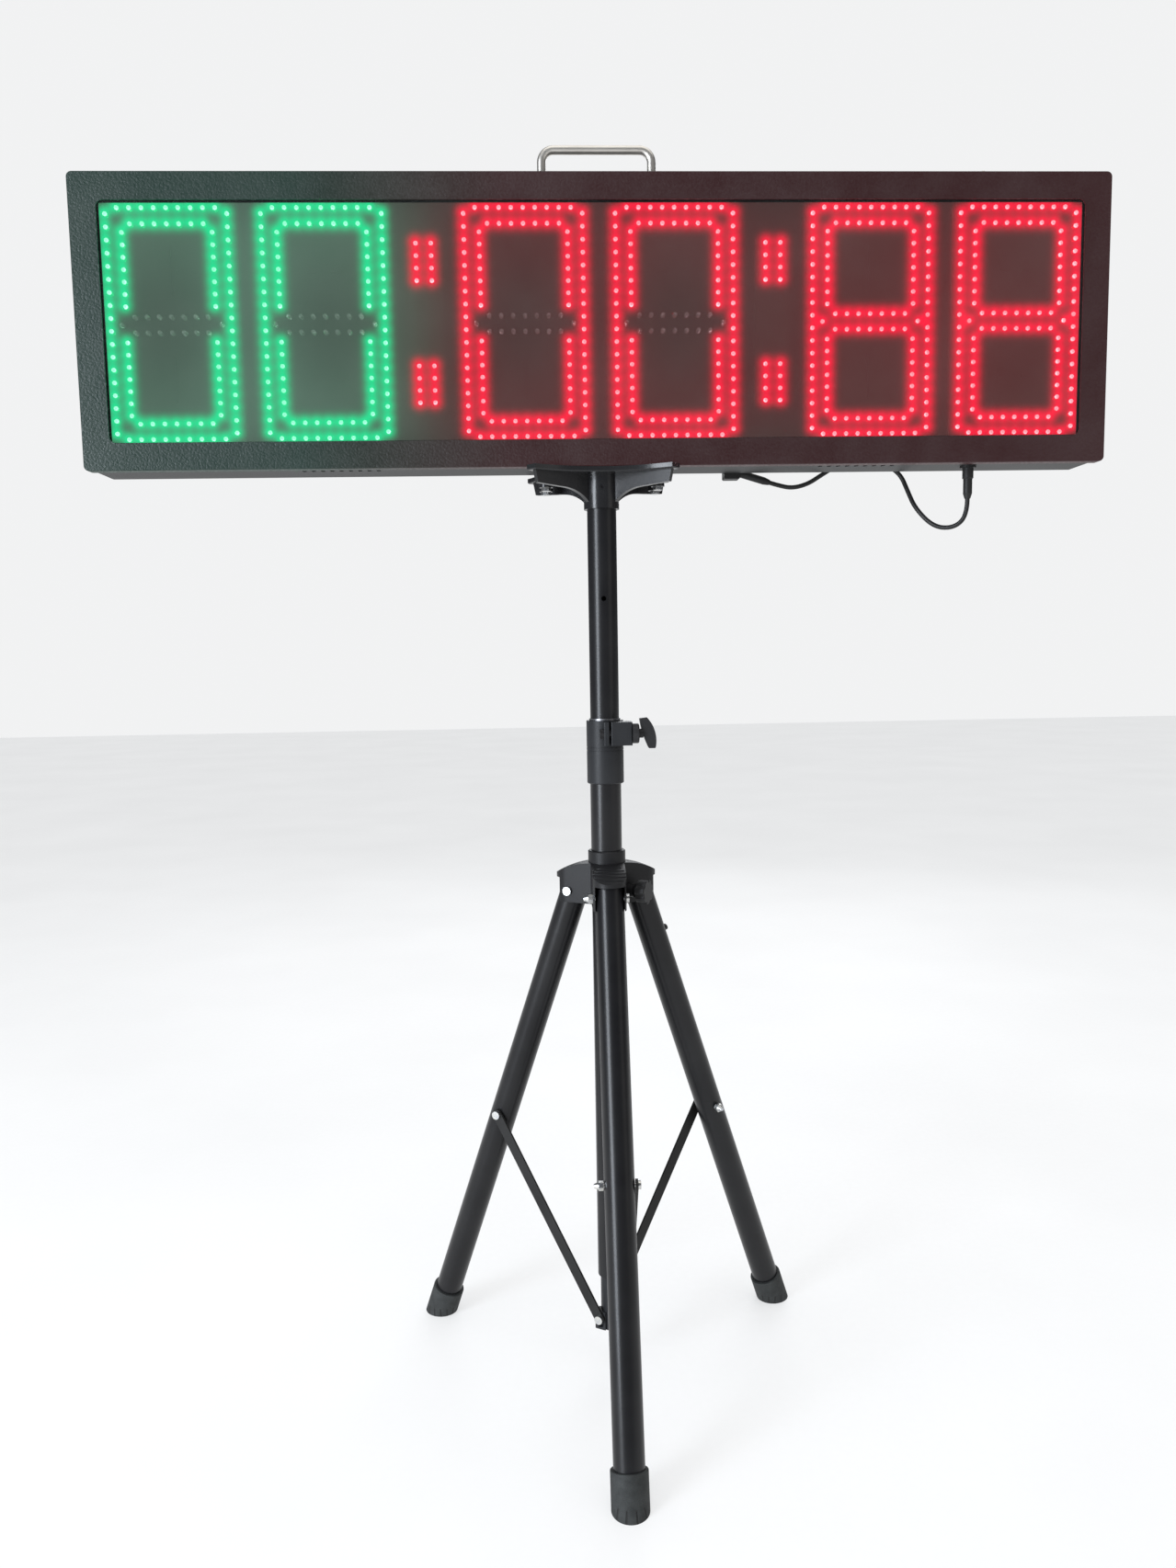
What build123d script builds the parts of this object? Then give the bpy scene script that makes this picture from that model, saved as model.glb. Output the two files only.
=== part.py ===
from build123d import *
from math import asin, cos, degrees, pi, radians, sin, sqrt, tan
import os

os.makedirs("parts", exist_ok=True)

# A six-digit LED timing clock on a folding tripod stand. Millimetres, +Z up, the
# floor at z = 0. The clock faces -Y, and the origin is under the middle of the
# stand's footprint, so the mast stands a little behind it, at mast_y.

# ---------------------------------------------------------------- driving sizes
# Clock head
face_width = 1185.0
face_height = 326.0
face_z = 1290.0  # height of the face's centre above the floor
head_depth = 80.0
face_border = 30.5
face_corner = 6.0
window_corner = 8.0
bezel_wall = 2.0
bezel_skirt = 14.0
bezel_gap = 0.5  # between the bezel's skirt and the case
sheet = 1.5  # case, cover and mounting plate
lens_thickness = 3.0
rear_lip = 14.0

# Display
digit_pitch = 173.0  # centre to centre inside a pair
colon_pitch = 114.0  # digit centre to colon centre
digit_half_height = 127.0  # to the outer rows' centres
digit_half_width = 67.7
led_pitch = 13.65
led_column_pitch = 14.17
stroke = 17.35  # outer row to inner row
inner_start = 19.8  # first diode of an inner column, above the centre
inner_pitch = 13.43
middle_row = 8.7
middle_end = 56.1
colon_group_z = 67.7
colon_column = 8.6
led_radius = 2.5
led_height = 8.0
lens_to_led = 2.0
board_margin = 9.0
board_thickness = 1.6
standoff_length = 10.0
standoff_radius = 3.0

# Carrying handle
handle_span = 128.0
handle_rise = 46.0
handle_bar = 5.0  # radius
handle_bend = 14.0

# Mast
inner_tube_r = 17.5
tube_wall = 1.4
tube_gap = 0.3  # inner tube to outer tube
outer_tube_wall = 1.2
insertion = 380.0  # inner tube below the clutch's top edge
running = 0.08  # radial clearance of a running fit
clutch_height = 77.0
clutch_wall = 3.5
clutch_above_hub = 135.0  # hub pivot height to the clutch's lower edge

# Tripod
hub_z = 618.0  # height of the leg pivots
leg_angle = 20.0  # legs from vertical, open
leg_r = 17.5
leg_wall = 1.5
leg_top = 9.0  # leg tube above its pivot
leg_length = 638.0  # pivot to the tube's end
brace_along_leg = 328.0
brace_foot_z = 63.0  # height of the lower brace pivots
brace_foot_r = 10.0  # their distance from the mast's axis, along the leg's azimuth
brace_thickness = 3.0
brace_width = 13.0
brace_gap = 0.8  # brace to leg
cheek = 2.4
cheek_gap = 0.4
sleeve_wall = 4.9
fold_travel = 16.0  # degrees that each leg swings in
foot_wall = 3.5
foot_above_end = 20.0  # cap's rim above the tube's end

# Bracket under the head
bracket_half_width = 88.0
bracket_half_depth = 64.0
bracket_plate = 6.0
socket_depth = 45.0
socket_wall = 3.5

# ------------------------------------------------------------- worked-out sizes
outer_tube_r = inner_tube_r + tube_gap + outer_tube_wall
sleeve_r = outer_tube_r + sleeve_wall
pivot_r = sleeve_r + 3.6 + leg_r
slope = radians(leg_angle)
sole_r = pivot_r + hub_z * tan(slope)
foot_r = leg_r + foot_wall

# The mast stands behind the footprint's middle by half of what the front foot
# reaches more than the two rear feet do.
sole_long = foot_r / cos(slope)
front_reach = sole_r + sole_long
rear_reach = sole_r / 2 + sqrt((sole_long / 2) ** 2 + foot_r ** 2 * 0.75)
mast_y = (front_reach - rear_reach) / 2

head_front = -head_depth / 2
head_rear = head_depth / 2
case_width = face_width - 2 * (bezel_wall + bezel_gap)
case_height = face_height - 2 * (bezel_wall + bezel_gap)
lens_front = head_front + bezel_wall
case_front = lens_front + lens_thickness
case_rear = head_rear - sheet
board_front = case_front + lens_to_led + led_height
plate_front = board_front + board_thickness + standoff_length
plate_rear = plate_front + sheet

clutch_bottom = hub_z + clutch_above_hub
clutch_top = clutch_bottom + clutch_height
clutch_r = outer_tube_r + clutch_wall
case_floor = face_z - case_height / 2
bracket_top = face_z - face_height / 2
socket_bottom = bracket_top - socket_depth

leg_azimuths = {"front": -90, "right": 30, "left": 150}


def level(z):
    """Horizontal work plane at height z, centred on the mast."""
    return Plane((0, mast_y, z))


def face(y):
    """Upright work plane of the head, y behind the mast's axis, looking at -Y."""
    return Plane((0, mast_y + y, face_z), x_dir=(1, 0, 0), z_dir=(0, -1, 0))


def upright(azimuth, z=0.0):
    """Plane through the mast's axis at an azimuth: local x runs out, local y up from z."""
    out = Vector(cos(radians(azimuth)), sin(radians(azimuth)), 0)
    across = Vector(-out.Y, out.X, 0)
    return Plane(Vector(0, mast_y, z), x_dir=out, z_dir=-across)


def leg_plane(azimuth, along):
    """Plane square to a leg, a distance down it from its pivot; local x runs across."""
    out = Vector(cos(radians(azimuth)), sin(radians(azimuth)), 0)
    across = Vector(-out.Y, out.X, 0)
    down = out * sin(slope) - Vector(0, 0, cos(slope))
    pivot = Vector(0, mast_y, hub_z) + out * pivot_r
    return Plane(pivot + down * along, x_dir=across, z_dir=down)


def cross_plane(azimuth, radius, z, offset=0.0):
    """Plane whose normal runs across a leg's azimuth, for the pivot bolts."""
    out = Vector(cos(radians(azimuth)), sin(radians(azimuth)), 0)
    across = Vector(-out.Y, out.X, 0)
    centre = Vector(0, mast_y, z) + out * radius + across * offset
    return Plane(centre, x_dir=out, z_dir=across)


def save(piece, name):
    piece.part.label = name
    export_step(piece.part, f"parts/{name}.step")


# ================================================================== clock head
# ---- front bezel: a folded frame round the window
with BuildPart() as front_bezel:
    with BuildSketch(face(head_front)):
        RectangleRounded(face_width, face_height, face_corner)
    extrude(amount=-bezel_skirt)
    with BuildSketch(face(lens_front)):
        RectangleRounded(face_width - 2 * bezel_wall, face_height - 2 * bezel_wall,
                         face_corner - bezel_wall)
    extrude(amount=-bezel_skirt, mode=Mode.SUBTRACT)
    with BuildSketch(face(head_front)):
        RectangleRounded(face_width - 2 * face_border, face_height - 2 * face_border,
                         window_corner)
    extrude(amount=-bezel_wall, mode=Mode.SUBTRACT)
    outer_rim = front_bezel.faces().sort_by(Axis.Y)[0].outer_wire().edges()
    chamfer(outer_rim, length=0.8)
save(front_bezel, "front_bezel")

# ---- tinted lens, held between the bezel and the case's front edge
with BuildPart() as tinted_lens:
    with BuildSketch(face(lens_front)):
        RectangleRounded(face_width - 2 * bezel_wall - 2 * bezel_gap,
                         face_height - 2 * bezel_wall - 2 * bezel_gap, 3.0)
    extrude(amount=-lens_thickness)
save(tinted_lens, "tinted_lens")

# ---- rear case: a sheet box, open at the front, with a lip for the back cover
vent_count = 9
vent_pitch = 10.85
vent_x = 306.0
vent_y = -12.0
vent_length = 20.0
vent_width = 5.0
socket_x = 444.5
switch_x = 453.0
lead_socket_r = 7.0
bushing_r = 5.9
stud_r = 3.0
hole_gap = 0.2
bracket_bolt_x = 66.0
bracket_bolt_y = 17.5
bracket_bolt_r = 3.0
screw_r = 1.5
lip_mid = case_height / 2 - rear_lip / 2 - 1.0
cover_screws = [(x, z) for z in (-lip_mid, lip_mid)
                for x in [case_width * step / 12.0 for step in (-5, -3, -1, 1, 3, 5)]]
cover_screws += [(x, 0.0) for x in (-(case_width / 2 - rear_lip / 2 - 1.0),
                                    case_width / 2 - rear_lip / 2 - 1.0)]

with BuildPart() as rear_case:
    with BuildSketch(face(case_front)):
        RectangleRounded(case_width, case_height, 3.5)
    extrude(amount=case_front - case_rear)
    with BuildSketch(face(case_front)):
        RectangleRounded(case_width - 2 * sheet, case_height - 2 * sheet, 2.0)
    extrude(amount=case_front - case_rear + sheet, mode=Mode.SUBTRACT)
    with BuildSketch(face(case_rear)):
        RectangleRounded(case_width - 2 * rear_lip, case_height - 2 * rear_lip, 4.0)
    extrude(amount=sheet, mode=Mode.SUBTRACT)
    # cooling slots in the floor, near the front
    with BuildSketch(level(case_floor)):
        with Locations((-vent_x, vent_y), (vent_x, vent_y)):
            with GridLocations(vent_pitch, 1.0, vent_count, 1):
                SlotOverall(vent_length, vent_width, rotation=90)
        with GridLocations(2 * bracket_bolt_x, 2 * bracket_bolt_y, 2, 2):
            Circle(bracket_bolt_r + hole_gap)
        with Locations((socket_x, 0)):
            Circle(lead_socket_r + hole_gap)
    extrude(amount=sheet, mode=Mode.SUBTRACT)
    # handle studs and the switch go through the roof
    with BuildSketch(level(face_z + case_height / 2)):
        with Locations((-handle_span / 2, 0), (handle_span / 2, 0)):
            Circle(stud_r + hole_gap)
        with Locations((switch_x, 0)):
            Circle(bushing_r + hole_gap)
    extrude(amount=-sheet, mode=Mode.SUBTRACT)
    with BuildSketch(face(case_rear)):
        with Locations(*cover_screws):
            Circle(screw_r + hole_gap)
    extrude(amount=sheet, mode=Mode.SUBTRACT)
save(rear_case, "rear_case")

# ---- back cover and its screws
with BuildPart() as back_cover:
    with BuildSketch(face(head_rear)):
        RectangleRounded(case_width, case_height, 3.5)
        with Locations(*cover_screws):
            Circle(screw_r + hole_gap, mode=Mode.SUBTRACT)
        # two rows of cooling slots high on the cover
        with Locations((-vent_x, lip_mid - 38.0), (vent_x, lip_mid - 38.0)):
            with GridLocations(vent_pitch, 1.0, vent_count, 1):
                SlotOverall(30.0, vent_width, rotation=90, mode=Mode.SUBTRACT)
    extrude(amount=sheet)
save(back_cover, "back_cover")

with BuildPart() as cover_screw_set:
    with BuildSketch(face(head_rear)):
        with Locations(*cover_screws):
            Circle(3.2)
    extrude(amount=-1.9)
    fillet(cover_screw_set.edges().group_by(Axis.Y)[-1], radius=1.2)
    with BuildSketch(face(head_rear)):
        with Locations(*cover_screws):
            Circle(screw_r)
    extrude(amount=2 * sheet + 3.0)
save(cover_screw_set, "cover_screws")

# ---- mounting plate across the case, with flanges against its end walls
plate_clear = 10.0
with BuildPart() as mounting_plate:
    with BuildSketch(face(plate_front)):
        Rectangle(case_width - 2 * sheet, case_height - 2 * sheet - 2 * plate_clear)
    extrude(amount=-sheet)
    with BuildSketch(face(plate_front)):
        with Locations((-case_width / 2 + 1.5 * sheet, 0), (case_width / 2 - 1.5 * sheet, 0)):
            Rectangle(sheet, case_height - 2 * sheet - 2 * plate_clear)
    extrude(amount=-15.0)
save(mounting_plate, "mounting_plate")

# ---- digit and colon boards
digit_x = [side_sign * (steps * digit_pitch + 2 * colon_pitch * far)
           for side_sign, steps, far in ((-1, 1.5, 1), (-1, 0.5, 1), (-1, 0.5, 0),
                                         (1, 0.5, 0), (1, 0.5, 1), (1, 1.5, 1))]
colon_x = [-(0.5 * digit_pitch + colon_pitch), 0.5 * digit_pitch + colon_pitch]
board_width = 2 * (digit_half_width + board_margin)
board_height = 2 * (digit_half_height + board_margin)
colon_board_width = 40.0
colon_board_height = 190.0
board_hole_inset = 5.5


def board_holes(width, height):
    if width < 3 * board_margin + 20.0:
        return [(0, height / 2 - board_hole_inset), (0, board_hole_inset - height / 2)]
    return [(sx * (width / 2 - board_hole_inset), sz * (height / 2 - board_hole_inset))
            for sx in (-1, 1) for sz in (-1, 1)]


boards = [(f"digit_board_{i + 1}", x, board_width, board_height)
          for i, x in enumerate(digit_x)]
boards += [(f"colon_board_{i + 1}", x, colon_board_width, colon_board_height)
           for i, x in enumerate(colon_x)]
for board_name, board_x, width, height in boards:
    with BuildPart() as board:
        with BuildSketch(face(board_front)):
            with Locations((board_x, 0)):
                Rectangle(width, height)
                with Locations(*board_holes(width, height)):
                    Circle(screw_r, mode=Mode.SUBTRACT)
        extrude(amount=-board_thickness)
    save(board, board_name)

standoff_points = [(board_x + x, z) for _, board_x, width, height in boards
                   for x, z in board_holes(width, height)]
with BuildPart() as standoff_set:
    with BuildSketch(face(board_front + board_thickness)):
        with Locations(*standoff_points):
            Circle(standoff_radius)
    extrude(amount=-standoff_length)
save(standoff_set, "board_standoffs")


# ---- light-emitting diodes, in the places of a two-row seven-segment digit
def run(count, pitch, start=None):
    first = -(count - 1) / 2 * pitch if start is None else start
    return [first + i * pitch for i in range(count)]


def segment(name):
    """Diode centres of one segment: outer row of 9, inner row of 7."""
    inner_row = digit_half_height - stroke
    inner_column = digit_half_width - stroke
    if name == "middle":
        points = [(x, z) for z in (-middle_row, middle_row) for x in run(7, led_pitch)]
        return points + [(-middle_end, 0.0), (middle_end, 0.0)]
    if name in ("top", "bottom"):
        up = 1 if name == "top" else -1
        points = [(x, up * digit_half_height) for x in run(9, led_pitch)]
        return points + [(x, up * inner_row) for x in run(7, led_pitch)]
    up = 1 if "upper" in name else -1
    across = 1 if "right" in name else -1
    points = [(across * digit_half_width, up * z)
              for z in run(9, led_column_pitch, led_column_pitch / 2)]
    return points + [(across * inner_column, up * z) for z in run(7, inner_pitch, inner_start)]


ring = ("top", "bottom", "upper_left", "upper_right", "lower_left", "lower_right")


def digit_leds(number, names):
    return [(digit_x[number] + x, z) for name in names for x, z in segment(name)]


colon_leds = [(cx + sx * colon_column, sz * colon_group_z + z) for cx in colon_x
              for sx in (-1, 1) for sz in (-1, 1) for z in run(4, led_pitch)]
led_groups = {
    "leds_green": digit_leds(0, ring) + digit_leds(1, ring),
    "leds_red": (digit_leds(2, ring) + digit_leds(3, ring) + digit_leds(4, ring)
                 + digit_leds(5, ring) + digit_leds(4, ["middle"]) + digit_leds(5, ["middle"])
                 + colon_leds),
    "leds_unlit": [point for number in range(4) for point in digit_leds(number, ["middle"])],
}
for group_name, places in led_groups.items():
    with BuildPart() as led_set:
        with BuildSketch(face(board_front)):
            with Locations(*places):
                Circle(led_radius)
        extrude(amount=led_height)
        fillet(led_set.edges().group_by(Axis.Y)[0], radius=led_radius - 0.3)
    save(led_set, group_name)

# ---- connectors on the odd boards, driver chips on the even ones and the controller
header_z = 60.0
with BuildPart() as header_set:
    with BuildSketch(face(board_front)):
        with Locations(*[(digit_x[i], sz * header_z) for i in (0, 2, 4) for sz in (-1, 1)]):
            Rectangle(2.6, 50.0)
    extrude(amount=4.0)
save(header_set, "pin_headers")

controller_x = -255.0
controller_standoff = 6.0
controller_rear = plate_rear + controller_standoff + board_thickness
with BuildPart() as controller_board:
    with BuildSketch(face(plate_rear + controller_standoff)):
        with Locations((controller_x, 10.0)):
            Rectangle(150.0, 95.0)
    extrude(amount=-board_thickness)
    with BuildSketch(face(plate_rear)):
        with Locations((controller_x, 10.0)):
            with GridLocations(138.0, 83.0, 2, 2):
                Circle(standoff_radius)
    extrude(amount=-controller_standoff)
save(controller_board, "controller_board")

with BuildPart() as chip_set:
    with BuildSketch(face(board_front)):
        with Locations(*[(digit_x[i] + dx, sz * header_z) for i in (1, 3, 5)
                         for sz in (-1, 1) for dx in (-14.0, 14.0)]):
            Rectangle(10.0, 6.0)
    extrude(amount=1.6)
    with BuildSketch(face(controller_rear)):
        with Locations((controller_x - 30.0, 18.0)):
            Rectangle(20.0, 20.0)
        with Locations((controller_x + 25.0, 28.0), (controller_x + 25.0, 8.0)):
            Rectangle(18.0, 8.0)
    extrude(amount=-2.5)
save(chip_set, "driver_chips")

with BuildPart() as power_supply:
    with BuildSketch(face(plate_rear)):
        with Locations((300.0, 5.0)):
            RectangleRounded(160.0, 98.0, 3.0)
    extrude(amount=-38.0)
    with BuildSketch(face(plate_rear + 38.0)):
        with Locations((300.0, 5.0)):
            with GridLocations(10.0, 1.0, 11, 1):
                SlotOverall(70.0, 4.0, rotation=90)
    extrude(amount=1.5, mode=Mode.SUBTRACT)
save(power_supply, "power_supply")

# ---- carrying handle: a bent bar with threaded studs, ferrules outside, nuts inside
roof = face_z + case_height / 2
stud_length = 10.0
with BuildPart() as carry_handle:
    with BuildLine(Plane((0, mast_y, roof), x_dir=(1, 0, 0), z_dir=(0, -1, 0))):
        FilletPolyline((-handle_span / 2, 0), (-handle_span / 2, handle_rise - handle_bar),
                       (handle_span / 2, handle_rise - handle_bar), (handle_span / 2, 0),
                       radius=handle_bend)
    with BuildSketch(Plane((-handle_span / 2, mast_y, roof))):
        Circle(handle_bar)
    sweep()
    with BuildSketch(level(roof)):
        with Locations((-handle_span / 2, 0), (handle_span / 2, 0)):
            Circle(stud_r)
    extrude(amount=-stud_length)
save(carry_handle, "carry_handle")

ferrule_height = 7.0
nut_height = 5.0
with BuildPart() as handle_fitting_set:
    with BuildSketch(Plane((handle_span / 2, mast_y, roof), x_dir=(1, 0, 0), z_dir=(0, -1, 0))):
        with BuildLine():
            Polyline((handle_bar + 0.1, 0), (handle_bar + 3.4, 0), (handle_bar + 3.0, 2.0),
                     (handle_bar + 0.9, ferrule_height), (handle_bar + 0.1, ferrule_height),
                     close=True)
        make_face()
    revolve(axis=Axis((handle_span / 2, mast_y, roof), (0, 0, 1)))
    with BuildSketch(Plane((handle_span / 2, mast_y, roof - sheet - nut_height))):
        RegularPolygon(5.6, 6)
        Circle(stud_r + 0.05, mode=Mode.SUBTRACT)
    extrude(amount=nut_height)
    mirror(about=Plane.YZ)
save(handle_fitting_set, "handle_fittings")

# ---- power switch on the roof: body with a threaded bushing, and its lever
switch_throw = 12.0  # lever to each side of upright, degrees
lever_pivot = roof + 1.5
bushing_height = 6.0
with BuildPart() as switch_body:
    with BuildSketch(Plane((switch_x, mast_y, roof - sheet - 20.0))):
        Rectangle(13.0, 20.0)
    extrude(amount=20.0)
    with BuildSketch(Plane((switch_x, mast_y, roof - sheet))):
        Circle(bushing_r)
    extrude(amount=sheet + bushing_height)
    with BuildSketch(Plane((switch_x, mast_y, roof))):
        RegularPolygon(8.4, 6)
    extrude(amount=2.2)
    with BuildSketch(Plane((switch_x, mast_y, roof), x_dir=(1, 0, 0), z_dir=(0, -1, 0))):
        with BuildLine():
            Polyline((0, -1.5), (2.6, -1.5), (2.6, 3.0), (4.6, bushing_height),
                     (0, bushing_height), close=True)
        make_face()
    revolve(axis=Axis((switch_x, mast_y, roof), (0, 0, 1)), mode=Mode.SUBTRACT)
save(switch_body, "switch_body")

lever_length = 17.0
lever_up = Vector(sin(radians(switch_throw)), 0, cos(radians(switch_throw)))
lever_out = Vector(cos(radians(switch_throw)), 0, -sin(radians(switch_throw)))
lever_centre = Vector(switch_x, mast_y, lever_pivot)
with BuildPart() as switch_lever:
    with BuildSketch(Plane(lever_centre, x_dir=lever_out, z_dir=(0, -1, 0))):
        with BuildLine():
            Polyline((0, -1.2), (1.6, -1.2), (2.1, 0), (1.5, 1.6), (2.5, lever_length - 2.4),
                     (1.4, lever_length), (0, lever_length), close=True)
        make_face()
    revolve(axis=Axis(lever_centre, lever_up))
    # the cross pin that the lever rocks on
    with BuildSketch(Plane(lever_centre, x_dir=(1, 0, 0), z_dir=(0, -1, 0))):
        Circle(1.2)
    extrude(amount=2.2, both=True)
save(switch_lever, "switch_lever")

# ---- sockets and the short lead between them
plug_r = 6.5
plug_top = case_floor - 3.0
plug_taper = 6.0
lead_r = 2.75
lead_points = [
    (444.5, 0.0, -199.5),
    (444.5, 0.0, -219.5),
    (432.0, 8.0, -233.5),
    (411.0, 21.0, -231.0),
    (392.0, 34.0, -207.0),
    (385.0, 44.0, -184.0),
    (378.0, 50.0, -163.0),
    (362.0, 52.0, -151.0),
    (340.0, 52.0, -149.0),
    (318.0, 52.0, -149.6),
    (296.0, 52.0, -151.5),
    (279.0, 51.0, -161.5),
    (261.0, 50.3, -173.0),
    (241.0, 49.7, -178.0),
    (224.0, 49.5, -174.6),
    (212.0, 49.5, -170.9),
]
lead_path = [Vector(x, mast_y + y, face_z + z) for x, y, z in lead_points]


def route_radii(points):
    """Bend radius at each inner point: 0.45 of the shorter run over the half turn's tangent."""
    radii = []
    for before, here, after in zip(points, points[1:], points[2:]):
        arrive = here - before
        leave = after - here
        half_turn = radians(arrive.get_angle(leave)) / 2
        radii.append(0.45 * min(arrive.length, leave.length) / tan(half_turn))
    return radii


lead_radii = route_radii(lead_path)
print("lead bend radii:", [round(value, 1) for value in lead_radii])
with BuildPart() as power_lead:
    with BuildLine() as lead_line:
        FilletPolyline(*lead_path, radius=lead_radii)
    lead_start = lead_line.wires()[0]
    with BuildSketch(Plane(lead_start @ 0, z_dir=lead_start % 0)):
        Circle(lead_r)
    sweep()
lead_volume = pi * lead_r ** 2 * lead_line.wires()[0].length
print("lead length", round(lead_line.wires()[0].length, 1), "volume ratio",
      round(power_lead.part.volume / lead_volume, 4))
save(power_lead, "power_lead")

with BuildPart() as lead_plug:
    plug_bottom = lead_path[0].Z
    with BuildSketch(Plane((socket_x, mast_y, 0), x_dir=(1, 0, 0), z_dir=(0, -1, 0))):
        with BuildLine():
            Polyline((0, plug_bottom), (lead_r + 0.8, plug_bottom),
                     (plug_r - 1.2, plug_bottom + plug_taper),
                     (plug_r - 1.2, plug_top - 13.0), (plug_r, plug_top - 12.0),
                     (plug_r, plug_top), (0, plug_top), close=True)
        make_face()
    revolve(axis=Axis((socket_x, mast_y, 0), (0, 0, 1)))
save(lead_plug, "lead_plug")

coupler_r = 4.6
coupler_length = 38.0
coupler_end = lead_path[-1]
coupler_axis = (lead_path[-1] - lead_path[-2]).normalized()
with BuildPart() as lead_coupler:
    with BuildSketch(Plane(coupler_end, z_dir=coupler_axis)):
        Circle(lead_r + 0.6)
    with BuildSketch(Plane(coupler_end + coupler_axis * 7.0, z_dir=coupler_axis)):
        Circle(coupler_r)
    loft()
    with BuildSketch(Plane(coupler_end + coupler_axis * 7.0, z_dir=coupler_axis)):
        Circle(coupler_r)
    extrude(amount=coupler_length - 7.0)
save(lead_coupler, "lead_coupler")

coupler_mouth = coupler_end + coupler_axis * coupler_length
with BuildPart() as lead_socket_set:
    with BuildSketch(Plane((socket_x, mast_y, plug_top))):
        Circle(9.5)
    extrude(amount=case_floor - plug_top)
    with BuildSketch(Plane((socket_x, mast_y, case_floor))):
        Circle(lead_socket_r)
    extrude(amount=22.0)
    with BuildSketch(Plane(coupler_mouth, z_dir=coupler_axis)):
        Circle(coupler_r + 2.4)
    extrude(amount=14.0)
    block_centre = coupler_mouth + coupler_axis * 12.0
    with BuildSketch(Plane((block_centre.X, mast_y + head_rear, block_centre.Z),
                           x_dir=(1, 0, 0), z_dir=(0, 1, 0))):
        RectangleRounded(20.0, 22.0, 2.0)
    extrude(amount=coupler_mouth.Y - mast_y - head_rear + coupler_r + 3.0)
save(lead_socket_set, "lead_sockets")

# clips hold the lead's middle stretch behind the case
clip_width = 8.0
clip_wall = 2.2
with BuildPart() as clip_set:
    for first in (7, 9):
        clip_centre = (lead_path[first] + lead_path[first + 1]) / 2
        clip_run = (lead_path[first + 1] - lead_path[first]).normalized()
        clip_plane = Plane(clip_centre - clip_run * clip_width / 2, x_dir=(0, 1, 0), z_dir=clip_run)
        cover_gap = clip_centre.Y - mast_y - head_rear
        clip_reach = cover_gap + lead_r + clip_wall
        with BuildSketch(clip_plane):
            with Locations((clip_reach / 2 - cover_gap, 0)):
                RectangleRounded(clip_reach, 2 * (lead_r + clip_wall), 2.0)
            Circle(lead_r + 0.3, mode=Mode.SUBTRACT)
        extrude(amount=clip_width)
save(clip_set, "lead_clips")

# =================================================================== bracket
# Moulded plate with four ribbed arms round a socket for the mast.
bracket_corner = 10.0
plate_waist = 24.0
side_waist = 16.0
boss_r = 8.0
boss_depth = 21.0
rib = 6.0
rib_depth = 20.0
socket_r = inner_tube_r + running + socket_wall
tube_top = bracket_top - bracket_plate - 0.5
screw_z = bracket_top - 21.0
socket_screw_r = 3.0
bw = bracket_half_width
bd = bracket_half_depth
with BuildPart() as top_bracket:
    with BuildSketch(level(bracket_top)):
        with BuildLine():
            ThreePointArc((bracket_corner - bw, -bd), (0, plate_waist - bd),
                          (bw - bracket_corner, -bd))
            Line((bw - bracket_corner, -bd), (bw, bracket_corner - bd))
            ThreePointArc((bw, bracket_corner - bd), (bw - side_waist, 0),
                          (bw, bd - bracket_corner))
            Line((bw, bd - bracket_corner), (bw - bracket_corner, bd))
            ThreePointArc((bw - bracket_corner, bd), (0, bd - plate_waist),
                          (bracket_corner - bw, bd))
            Line((bracket_corner - bw, bd), (-bw, bd - bracket_corner))
            ThreePointArc((-bw, bd - bracket_corner), (side_waist - bw, 0),
                          (-bw, bracket_corner - bd))
            Line((-bw, bracket_corner - bd), (bracket_corner - bw, -bd))
        make_face()
    extrude(amount=-bracket_plate)
    chamfer(top_bracket.edges().group_by(Axis.Z)[0], length=1.2)
    with BuildSketch(level(bracket_top)):
        Circle(socket_r)
    extrude(amount=-socket_depth)
    with BuildSketch(level(case_floor)):
        with GridLocations(2 * bracket_bolt_x, 2 * bracket_bolt_y, 2, 2):
            Circle(boss_r)
    extrude(amount=bracket_top - boss_depth - case_floor)
    arm_azimuth = degrees(asin((bd - 8.0) / sqrt((bd - 8.0) ** 2 + (bw - 8.0) ** 2)))
    arm_reach = sqrt((bd - 8.0) ** 2 + (bw - 8.0) ** 2)
    for azimuth in (arm_azimuth, 180 - arm_azimuth, 180 + arm_azimuth, -arm_azimuth):
        with BuildSketch(upright(azimuth, bracket_top)):
            with BuildLine():
                gusset = Spline((arm_reach - 36.0, -rib_depth - 2.0),
                                (socket_r - 1.0, 7.0 - socket_depth),
                                tangents=((-1, 0.0), (-0.55, -0.6)))
                Polyline(gusset @ 0, (arm_reach - 4.0, -rib_depth), (arm_reach, -3.0),
                         (socket_r - 1.0, -3.0), gusset @ 1)
            make_face()
        extrude(amount=rib / 2, both=True)
    with BuildSketch(level(case_floor)):
        with GridLocations(2 * bracket_bolt_x, 2 * bracket_bolt_y, 2, 2):
            Circle(bracket_bolt_r + hole_gap)
    extrude(amount=bracket_top - boss_depth - case_floor, mode=Mode.SUBTRACT)
    with BuildSketch(level(socket_bottom)):
        Circle(inner_tube_r + running)
    extrude(amount=socket_depth - bracket_plate, mode=Mode.SUBTRACT)
    with BuildSketch(Plane((0, mast_y, screw_z), x_dir=(1, 0, 0), z_dir=(0, -1, 0))):
        Circle(socket_screw_r + 0.1)
    extrude(amount=socket_r + 2.0, mode=Mode.SUBTRACT)
save(top_bracket, "top_bracket")

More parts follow.
